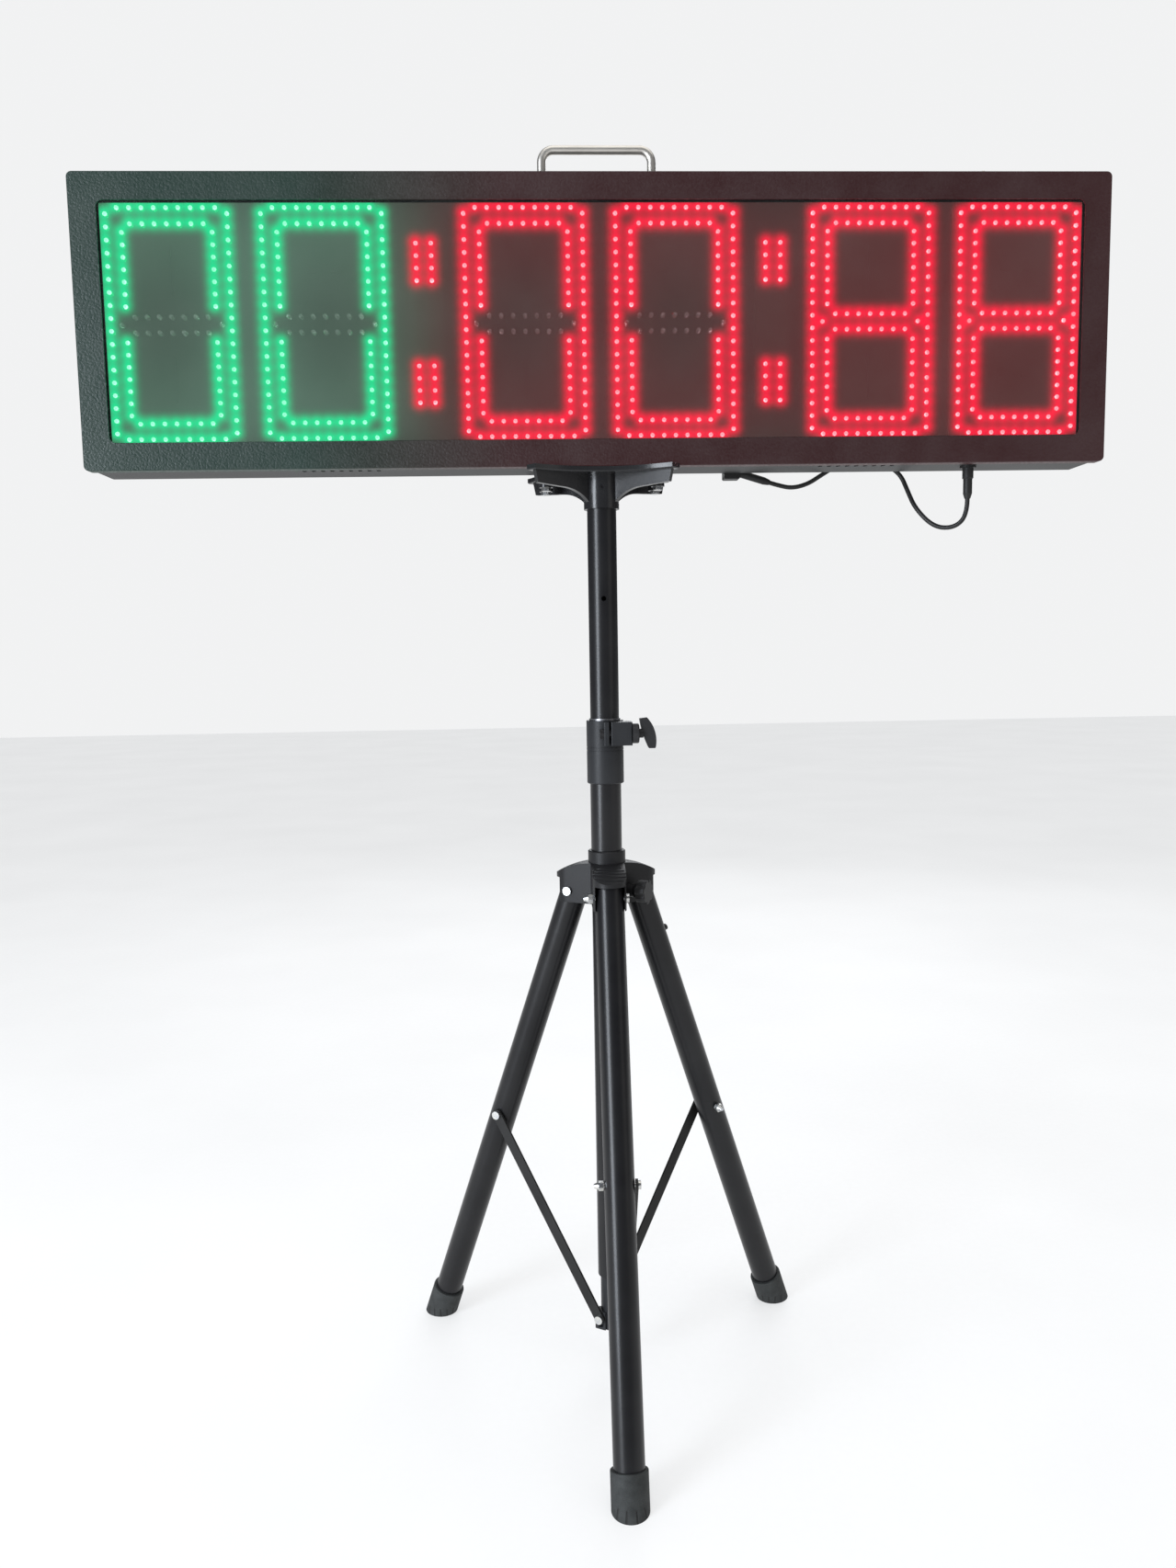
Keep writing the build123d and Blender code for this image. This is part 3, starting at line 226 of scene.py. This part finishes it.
halo_spread = 0.0052
cloud_spread = 0.045
# Every layer is painted light: halos and clouds of diode glow, and a flat painted grey glow over
# the whole window.
layers = [
    (np.clip(0.95 * glow(green_places, halo_spread), 0, 0.92), (0.01, 1.45, 0.55)),
    (np.clip(0.95 * glow(red_places, halo_spread), 0, 0.92), (2.00, 0.015, 0.09)),
    (np.clip(0.016 * glow(green_places, cloud_spread), 0, 0.5), (0.30, 0.62, 0.44)),
    (np.clip(0.013 * glow(red_places, cloud_spread), 0, 0.5), (0.42, 0.04, 0.05)),
    (np.full(len(spots), 0.35), (0.13, 0.13, 0.115)),
]
light = np.zeros((len(spots), 3))
through = np.ones(len(spots))
for cover, colour in layers:
    light += (through * cover)[:, None] * np.array(colour)
    through *= 1 - cover
veil = np.ones((len(spots), 4))
veil[:, :3] = light / (1 - through)[:, None]
veil[:, 3] = 1 - through
painted_glow_colour = haze_mesh.color_attributes.new("haze", "FLOAT_COLOR", "POINT")
painted_glow_colour.data.foreach_set("color", veil.ravel())
painted_window_glow = bpy.data.objects.new("painted_window_glow", haze_mesh)
bpy.context.collection.objects.link(painted_window_glow)
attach(painted_window_glow, "head")
print("haze sheet faces:", len(haze_mesh.polygons))

# %% [markdown]
# ## Finishes
# Every surface gets a finish made of nodes that read Object coordinates, so the grain
# keeps its real size whatever the piece. The same recipe serves most of them: slow
# clouds change the colour a little, a fine grain changes the gloss, and the same grain
# lifts the surface in a bump. The numbers are what tells powder paint from rubber.


# %% Finish helpers
def new_finish(name):
    finish = bpy.data.materials.new(name)
    finish.use_nodes = True
    tree = finish.node_tree
    return finish, tree, tree.nodes["Principled BSDF"]


def noise(tree, coords, size, detail):
    """Noise whose features are about size metres across."""
    texture = tree.nodes.new("ShaderNodeTexNoise")
    texture.inputs["Scale"].default_value = 1.0 / size
    texture.inputs["Detail"].default_value = detail
    tree.links.new(coords.outputs["Object"], texture.inputs["Vector"])
    return texture.outputs["Fac"]


def between(tree, factor, low, high, start=0.3, end=0.7):
    """A value that goes from low to high as factor goes from start to end."""
    ramp = tree.nodes.new("ShaderNodeMapRange")
    ramp.inputs["From Min"].default_value = start
    ramp.inputs["From Max"].default_value = end
    ramp.inputs["To Min"].default_value = low
    ramp.inputs["To Max"].default_value = high
    tree.links.new(factor, ramp.inputs["Value"])
    return ramp.outputs["Result"]


def blend_colours(tree, factor, first, second):
    mix = tree.nodes.new("ShaderNodeMix")
    mix.data_type = "RGBA"
    first_in, second_in = (s for s in mix.inputs if s.name in "AB" and s.type == "RGBA")
    for socket, value in ((first_in, first), (second_in, second)):
        if isinstance(value, tuple):
            socket.default_value = (*value, 1.0)
        else:
            tree.links.new(value, socket)
    tree.links.new(factor, mix.inputs["Factor"])
    return next(s for s in mix.outputs if s.type == "RGBA")


def raise_surface(tree, shader, height, depth, strength=0.6):
    bump = tree.nodes.new("ShaderNodeBump")
    bump.inputs["Distance"].default_value = depth
    bump.inputs["Strength"].default_value = strength
    tree.links.new(height, bump.inputs["Height"])
    tree.links.new(bump.outputs["Normal"], shader.inputs["Normal"])


def surface(name, dark, light, gloss, grain, depth, metal=0.0, coat=0.0, cloud=0.08):
    """The common recipe: clouded colour, grained gloss and a bump."""
    finish, tree, shader = new_finish(name)
    coords = tree.nodes.new("ShaderNodeTexCoord")
    clouds = noise(tree, coords, cloud, 4.0)
    fine = noise(tree, coords, grain, 2.0)
    tree.links.new(blend_colours(tree, between(tree, clouds, 0.0, 1.0), dark, light),
                   shader.inputs["Base Color"])
    tree.links.new(between(tree, fine, gloss[0], gloss[1]), shader.inputs["Roughness"])
    raise_surface(tree, shader, fine, depth)
    shader.inputs["Metallic"].default_value = metal
    shader.inputs["Specular IOR Level"].default_value = 0.5 if metal else 0.22
    shader.inputs["Coat Weight"].default_value = coat
    shader.inputs["Coat Roughness"].default_value = 0.16
    return finish


def wear(nodes_named, finish):
    for node in nodes_named:
        nodes[node].data.materials.clear()
        nodes[node].data.materials.append(finish)


# %% [markdown]
# Painted steel: the bezel has a coarse black powder coat, the case behind it a finer
# charcoal one. Powder paint is pebbled, and on the bezel its grain is over two
# millimetres across. The bezel also carries a painted glow of the diodes' light, green
# at one end and red at the other.

# %% Painted case
bezel_paint_and_glow = surface("powder_black_and_glow", (0.007, 0.008, 0.008), (0.015, 0.016, 0.016),
                      (0.34, 0.55), 0.0026, 0.0010, cloud=0.05)
case_paint = surface("case_paint", (0.030, 0.031, 0.031), (0.046, 0.047, 0.047),
                     (0.42, 0.60), 0.0009, 0.00007, cloud=0.12)
bezel_tree = bezel_paint_and_glow.node_tree
bezel_shader = bezel_tree.nodes["Principled BSDF"]
bezel_coords = bezel_tree.nodes.new("ShaderNodeTexCoord")
bezel_split = bezel_tree.nodes.new("ShaderNodeSeparateXYZ")
bezel_tree.links.new(bezel_coords.outputs["Object"], bezel_split.inputs["Vector"])
# Painted glow: the bezel's emission stands for diode light falling on it, green by the green
# digits and red by the red ones.
painted_glow_middle = (green_places[:, 0].max() + red_places[:, 0].min()) / 2
painted_glow_reach = 0.12
across = between(bezel_tree, bezel_split.outputs["X"], 0.0, 1.0,
                 painted_glow_middle - painted_glow_reach, painted_glow_middle + painted_glow_reach)
bezel_tree.links.new(blend_colours(bezel_tree, across, (0.0, 0.022, 0.013), (0.026, 0.0, 0.001)),
                     bezel_shader.inputs["Emission Color"])
bezel_shader.inputs["Emission Strength"].default_value = 1.0
bezel_shader.inputs["Specular IOR Level"].default_value = 0.35
bezel_paint_and_glow.cycles.emission_sampling = "NONE"
wear(["front_bezel"], bezel_paint_and_glow)
wear(["rear_case", "back_cover"], case_paint)
wear(["mounting_plate"], surface("plate_paint", (0.010, 0.010, 0.010), (0.020, 0.020, 0.020),
                                 (0.5, 0.7), 0.001, 0.00005))

# %% [markdown]
# Smoked acrylic: the pane lets about half of the light through and still mirrors the
# room. Alpha does the tinting, because a pane this thin bends light too little to see.

# %% Smoked window
smoked, smoked_tree, smoked_shader = new_finish("smoked_window")
smoked_coords = smoked_tree.nodes.new("ShaderNodeTexCoord")
smudges = noise(smoked_tree, smoked_coords, 0.09, 5.0)
smoked_tree.links.new(blend_colours(smoked_tree, between(smoked_tree, smudges, 0.0, 1.0),
                                    (0.010, 0.012, 0.012), (0.022, 0.025, 0.024)),
                      smoked_shader.inputs["Base Color"])
smoked_tree.links.new(between(smoked_tree, smudges, 0.11, 0.15),
                      smoked_shader.inputs["Roughness"])
smoked_shader.inputs["Alpha"].default_value = 0.46
smoked_shader.inputs["IOR"].default_value = 1.49
smoked_shader.inputs["Specular IOR Level"].default_value = 0.4
wear(["tinted_lens"], smoked)

# %% [markdown]
# The haze sheet shines with the painted glow stored in its vertices, and lets the
# boards show through wherever no diode is near.

# %% Haze finish
haze_finish, haze_tree, haze_shader = new_finish("window_glow")
haze_read = haze_tree.nodes.new("ShaderNodeVertexColor")
haze_read.layer_name = "haze"
haze_tree.links.new(haze_read.outputs["Color"], haze_shader.inputs["Emission Color"])
haze_tree.links.new(haze_read.outputs["Alpha"], haze_shader.inputs["Alpha"])
haze_shader.inputs["Base Color"].default_value = (0.0, 0.0, 0.0, 1.0)
haze_shader.inputs["Specular IOR Level"].default_value = 0.0
haze_shader.inputs["Roughness"].default_value = 1.0
haze_shader.inputs["Emission Strength"].default_value = 1.9
haze_finish.cycles.emission_sampling = "NONE"
haze_mesh.materials.append(haze_finish)

# %% [markdown]
# A lit diode is white at the tip of its dome, where the eye sees the chip, and deep
# coloured round the rim. The change runs along the dome, from its tip backwards.


# %% Diodes
white_to = 0.0010  # behind the tip
coloured_from = 0.0032


def lit_diode(name, node, rim, core, strength):
    finish, tree, shader = new_finish(name)
    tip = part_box(node)[0][1]
    coords = tree.nodes.new("ShaderNodeTexCoord")
    split = tree.nodes.new("ShaderNodeSeparateXYZ")
    tree.links.new(coords.outputs["Object"], split.inputs["Vector"])
    back = between(tree, split.outputs["Y"], 0.0, 1.0, tip + white_to, tip + coloured_from)
    barrel = tuple(0.04 * part for part in rim)
    tree.links.new(blend_colours(tree, back, core, barrel), shader.inputs["Emission Color"])
    shader.inputs["Base Color"].default_value = (*rim, 1.0)
    shader.inputs["Roughness"].default_value = 0.2
    shader.inputs["Emission Strength"].default_value = strength
    finish.cycles.emission_sampling = "NONE"
    wear([node], finish)


lit_diode("diode_green", "leds_green", (0.02, 1.0, 0.22), (0.70, 1.0, 0.88), 40.0)
lit_diode("diode_red", "leds_red", (1.0, 0.02, 0.02), (1.0, 0.72, 0.78), 40.0)
clear_epoxy = surface("diode_clear", (0.66, 0.67, 0.66), (0.80, 0.81, 0.80), (0.12, 0.25),
                      0.004, 0.00002)
wear(["leds_unlit"], clear_epoxy)

# %% [markdown]
# Circuit boards: dark green lacquer over copper tracks. A brick pattern with thin
# joints stands for the tracks, raised by the copper under the lacquer.

# %% Boards
board_finish, board_tree, board_shader = new_finish("board_lacquer")
board_coords = board_tree.nodes.new("ShaderNodeTexCoord")
board_turn = board_tree.nodes.new("ShaderNodeMapping")
board_turn.inputs["Rotation"].default_value = (math.radians(90), 0.0, 0.0)
board_tree.links.new(board_coords.outputs["Object"], board_turn.inputs["Vector"])
tracks = board_tree.nodes.new("ShaderNodeTexBrick")
tracks.inputs["Scale"].default_value = 60.0
tracks.inputs["Mortar Size"].default_value = 0.03
tracks.inputs["Mortar Smooth"].default_value = 0.4
tracks.inputs["Color1"].default_value = (0.010, 0.018, 0.014, 1.0)
tracks.inputs["Color2"].default_value = (0.014, 0.024, 0.018, 1.0)
tracks.inputs["Mortar"].default_value = (0.030, 0.052, 0.036, 1.0)
board_tree.links.new(board_turn.outputs["Vector"], tracks.inputs["Vector"])
board_tree.links.new(tracks.outputs["Color"], board_shader.inputs["Base Color"])
raise_surface(board_tree, board_shader, tracks.outputs["Fac"], 0.0001, 0.4)
board_shader.inputs["Roughness"].default_value = 0.32
wear([node for node in nodes if node.startswith(("digit_board", "colon_board", "controller"))],
     board_finish)
wear(["driver_chips", "pin_headers"],
     surface("chip_epoxy", (0.012, 0.012, 0.012), (0.03, 0.03, 0.03), (0.45, 0.65),
             0.0006, 0.00003))
wear(["power_supply"],
     surface("cage_steel", (0.42, 0.43, 0.44), (0.60, 0.61, 0.62), (0.25, 0.42),
             0.0009, 0.00002, metal=1.0))

# %% [markdown]
# Bright metals: the handle and the switch are nickel plated, the bolts are zinc
# plated. Zinc is duller and clouded with blue and straw tints; nickel is warm and
# clean, with a faint drawing grain along the bar.

# %% Bright metals
nickel = surface("nickel_plate", (0.62, 0.59, 0.54), (0.74, 0.71, 0.66), (0.38, 0.48),
                 0.0012, 0.00001, metal=1.0, cloud=0.03)
zinc = surface("zinc_plate", (0.50, 0.52, 0.56), (0.66, 0.65, 0.60), (0.22, 0.40),
               0.0011, 0.00003, metal=1.0, cloud=0.004)
wear(["carry_handle", "handle_fittings", "switch_body", "switch_lever"], nickel)
wear(["guide_bush"], surface("bush_steel", (0.16, 0.16, 0.17), (0.24, 0.24, 0.25),
                             (0.30, 0.42), 0.0009, 0.00002, metal=1.0, cloud=0.01))
wear([node for node in nodes if node.startswith(("brace_bolts", "pivot_bolts"))]
     + ["bracket_bolts", "cover_screws", "board_standoffs"], zinc)
wear(["clamp_bolt", "socket_screw"],
     surface("black_oxide", (0.020, 0.020, 0.022), (0.040, 0.040, 0.043), (0.32, 0.48),
             0.0010, 0.00003, metal=0.8, cloud=0.004))

# %% [markdown]
# The tubes have a baked black lacquer. It is smooth but not a mirror, so a window
# becomes one broad soft band down the left of each tube; a thin clear coat gives that
# band a brighter middle.

# %% Lacquered tubes
lacquer = surface("tube_lacquer", (0.005, 0.005, 0.006), (0.010, 0.010, 0.011),
                  (0.30, 0.38), 0.0012, 0.00001, coat=0.15, cloud=0.06)
wear([node for node in nodes if node.startswith("leg_") and node != "leg_button"]
     + ["inner_tube", "outer_tube"], lacquer)
wear([node for node in nodes if node.startswith("brace_") and "bolts" not in node],
     surface("brace_paint", (0.010, 0.010, 0.010), (0.020, 0.020, 0.020), (0.34, 0.50),
             0.0009, 0.00005))

# %% [markdown]
# Moulded parts: the bracket is glossy nylon, the clutch and the hub are satin nylon
# with a spark-eroded grain, and the knobs are a little rougher from handling.

# %% Moulded plastics
wear(["top_bracket"],
     surface("bracket_nylon", (0.008, 0.008, 0.009), (0.016, 0.016, 0.017), (0.18, 0.32),
             0.0008, 0.00005, coat=0.3))
wear(["clutch_collar", "lower_collar", "inner_tube_plug"],
     surface("clutch_nylon", (0.012, 0.013, 0.015), (0.022, 0.023, 0.025), (0.36, 0.52),
             0.0007, 0.00006))
wear(["hub", "hub_ring"],
     surface("hub_nylon", (0.007, 0.007, 0.008), (0.014, 0.014, 0.015), (0.34, 0.50),
             0.0007, 0.00006))
wear(["wing_knob", "hub_knob", "leg_button"],
     surface("knob_nylon", (0.012, 0.012, 0.013), (0.026, 0.026, 0.027), (0.34, 0.55),
             0.0009, 0.00007))
wear(["lead_plug", "lead_coupler", "lead_sockets", "lead_clips"],
     surface("plug_plastic", (0.012, 0.012, 0.012), (0.022, 0.022, 0.022), (0.38, 0.55),
             0.0007, 0.00004))

# %% [markdown]
# The lead's jacket is soft vinyl, with a slightly uneven sheen along its length.

# %% Lead jacket
lead_curve.materials.append(
    surface("lead_vinyl", (0.010, 0.010, 0.010), (0.020, 0.020, 0.020), (0.32, 0.50),
            0.0016, 0.00004, cloud=0.02))

# %% [markdown]
# The rubber feet have short upright slits round their rims. They are pressed into the
# rubber, so the finish sinks narrow bands, evenly spread round each foot's middle,
# in the lowest stretch of the cap, and colours them darker as painted shade.


# %% Rubber feet
slit_count = 14
slit_top = 0.011  # above the floor
slit_end = 0.013  # where they have faded out


def rubber_foot(leg):
    node = f"foot_{leg}"
    low, high = (Vector(corner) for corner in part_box(node))
    centre = (low + high) / 2
    finish, tree, shader = new_finish(f"rubber_{leg}")
    coords = tree.nodes.new("ShaderNodeTexCoord")
    centred = tree.nodes.new("ShaderNodeMapping")
    centred.inputs["Location"].default_value = (-centre.x, -centre.y, 0.0)
    tree.links.new(coords.outputs["Object"], centred.inputs["Vector"])
    split = tree.nodes.new("ShaderNodeSeparateXYZ")
    tree.links.new(centred.outputs["Vector"], split.inputs["Vector"])
    angle = tree.nodes.new("ShaderNodeMath")
    angle.operation = "ARCTAN2"
    tree.links.new(split.outputs["Y"], angle.inputs[0])
    tree.links.new(split.outputs["X"], angle.inputs[1])
    teeth = tree.nodes.new("ShaderNodeMath")
    teeth.operation = "MULTIPLY"
    teeth.inputs[1].default_value = slit_count
    tree.links.new(angle.outputs[0], teeth.inputs[0])
    wave = tree.nodes.new("ShaderNodeMath")
    wave.operation = "COSINE"
    tree.links.new(teeth.outputs[0], wave.inputs[0])
    slit = between(tree, wave.outputs[0], 0.0, 1.0, 0.80, 0.93)
    low_band = between(tree, split.outputs["Z"], 1.0, 0.0, slit_top, slit_end)
    slit_sink_and_shade = tree.nodes.new("ShaderNodeMath")
    slit_sink_and_shade.operation = "MULTIPLY"
    tree.links.new(slit, slit_sink_and_shade.inputs[0])
    tree.links.new(low_band, slit_sink_and_shade.inputs[1])
    fine = noise(tree, coords, 0.0009, 3.0)
    worn = blend_colours(tree, between(tree, noise(tree, coords, 0.012, 4.0), 0.0, 1.0),
                         (0.012, 0.014, 0.014), (0.026, 0.029, 0.029))
    # Painted shade: the slits are coloured darker than the rubber round them.
    tree.links.new(blend_colours(tree, slit_sink_and_shade.outputs[0], worn, (0.006, 0.006, 0.006)),
                   shader.inputs["Base Color"])
    tree.links.new(between(tree, fine, 0.62, 0.85), shader.inputs["Roughness"])
    height = tree.nodes.new("ShaderNodeMath")
    height.operation = "MULTIPLY_ADD"
    height.inputs[1].default_value = 0.06
    tree.links.new(fine, height.inputs[0])
    sunk = between(tree, slit_sink_and_shade.outputs[0], 1.0, 0.0, 0.0, 1.0)
    tree.links.new(sunk, height.inputs[2])
    raise_surface(tree, shader, height.outputs[0], 0.0012, 0.8)
    wear([node], finish)


for leg in ("front", "right", "left"):
    rubber_foot(leg)

# %% [markdown]
# ## Studio
# A wide pale floor glows a little like a light table, which keeps it even from front to
# back and its shadows soft.

# %% Floor
floor_shape = bmesh.new()
bmesh.ops.create_grid(floor_shape, x_segments=8, y_segments=8, size=14.0)
floor_mesh = bpy.data.meshes.new("floor")
floor_shape.to_mesh(floor_mesh)
floor_shape.free()
floor = bpy.data.objects.new("floor", floor_mesh)
bpy.context.collection.objects.link(floor)
floor_finish = surface("pale_floor", (0.26, 0.26, 0.26), (0.29, 0.29, 0.29),
                       (0.55, 0.70), 0.01, 0.0001, cloud=0.6)
floor_shader = floor_finish.node_tree.nodes["Principled BSDF"]
floor_shader.inputs["Emission Color"].default_value = (0.98, 0.99, 1.0, 1.0)
floor_shader.inputs["Emission Strength"].default_value = 0.58
floor_mesh.materials.append(floor_finish)

# %% [markdown]
# A tall soft light on the left draws the long cool highlight down the tubes, a weaker
# one on the right opens the shadows, an overhead light catches the handle and the
# bezel's top edge, and one behind lights the back. The world round them is pale to the
# camera but dim in reflections, so that black lacquer stays black.


# %% Lights and world
def soft_light(name, place, target, width, height, power, colour):
    lamp = bpy.data.lights.new(name, "AREA")
    lamp.shape = "RECTANGLE"
    lamp.size = width
    lamp.size_y = height
    lamp.energy = power
    lamp.color = colour
    holder = bpy.data.objects.new(name, lamp)
    bpy.context.collection.objects.link(holder)
    holder.location = place
    aim = Vector(target) - Vector(place)
    holder.rotation_euler = aim.to_track_quat("-Z", "Y").to_euler()


soft_light("window_light", (-2.5, -2.0, 1.2), (0, 0, 0.7), 1.1, 2.3, 130.0, (0.86, 0.92, 1.0))
soft_light("fill_light", (2.8, -1.8, 1.4), (0, 0, 0.8), 1.6, 2.0, 6.0, (1.0, 0.97, 0.93))
soft_light("ceiling_light", (0.2, -0.2, 3.6), (0, 0, 0), 3.4, 2.6, 40.0, (1.0, 0.99, 0.97))
soft_light("rear_light", (0.6, 3.0, 2.2), (0, 0, 0.9), 2.2, 1.4, 40.0, (0.95, 0.97, 1.0))

world = bpy.data.worlds.new("studio")
world.use_nodes = True
room_tree = world.node_tree
room = room_tree.nodes["Background"]
room.inputs["Color"].default_value = (0.80, 0.84, 0.90, 1.0)
room.inputs["Strength"].default_value = 0.12
backdrop = room_tree.nodes.new("ShaderNodeBackground")
backdrop.inputs["Color"].default_value = (0.93, 0.935, 0.94, 1.0)
backdrop.inputs["Strength"].default_value = 0.95
seen = room_tree.nodes.new("ShaderNodeLightPath")
choose = room_tree.nodes.new("ShaderNodeMixShader")
room_tree.links.new(seen.outputs["Is Glossy Ray"], choose.inputs["Fac"])
room_tree.links.new(backdrop.outputs["Background"], choose.inputs[1])
room_tree.links.new(room.outputs["Background"], choose.inputs[2])
room_tree.links.new(choose.outputs["Shader"], room_tree.nodes["World Output"].inputs["Surface"])
bpy.context.scene.world = world
bpy.context.scene.view_settings.view_transform = "Standard"
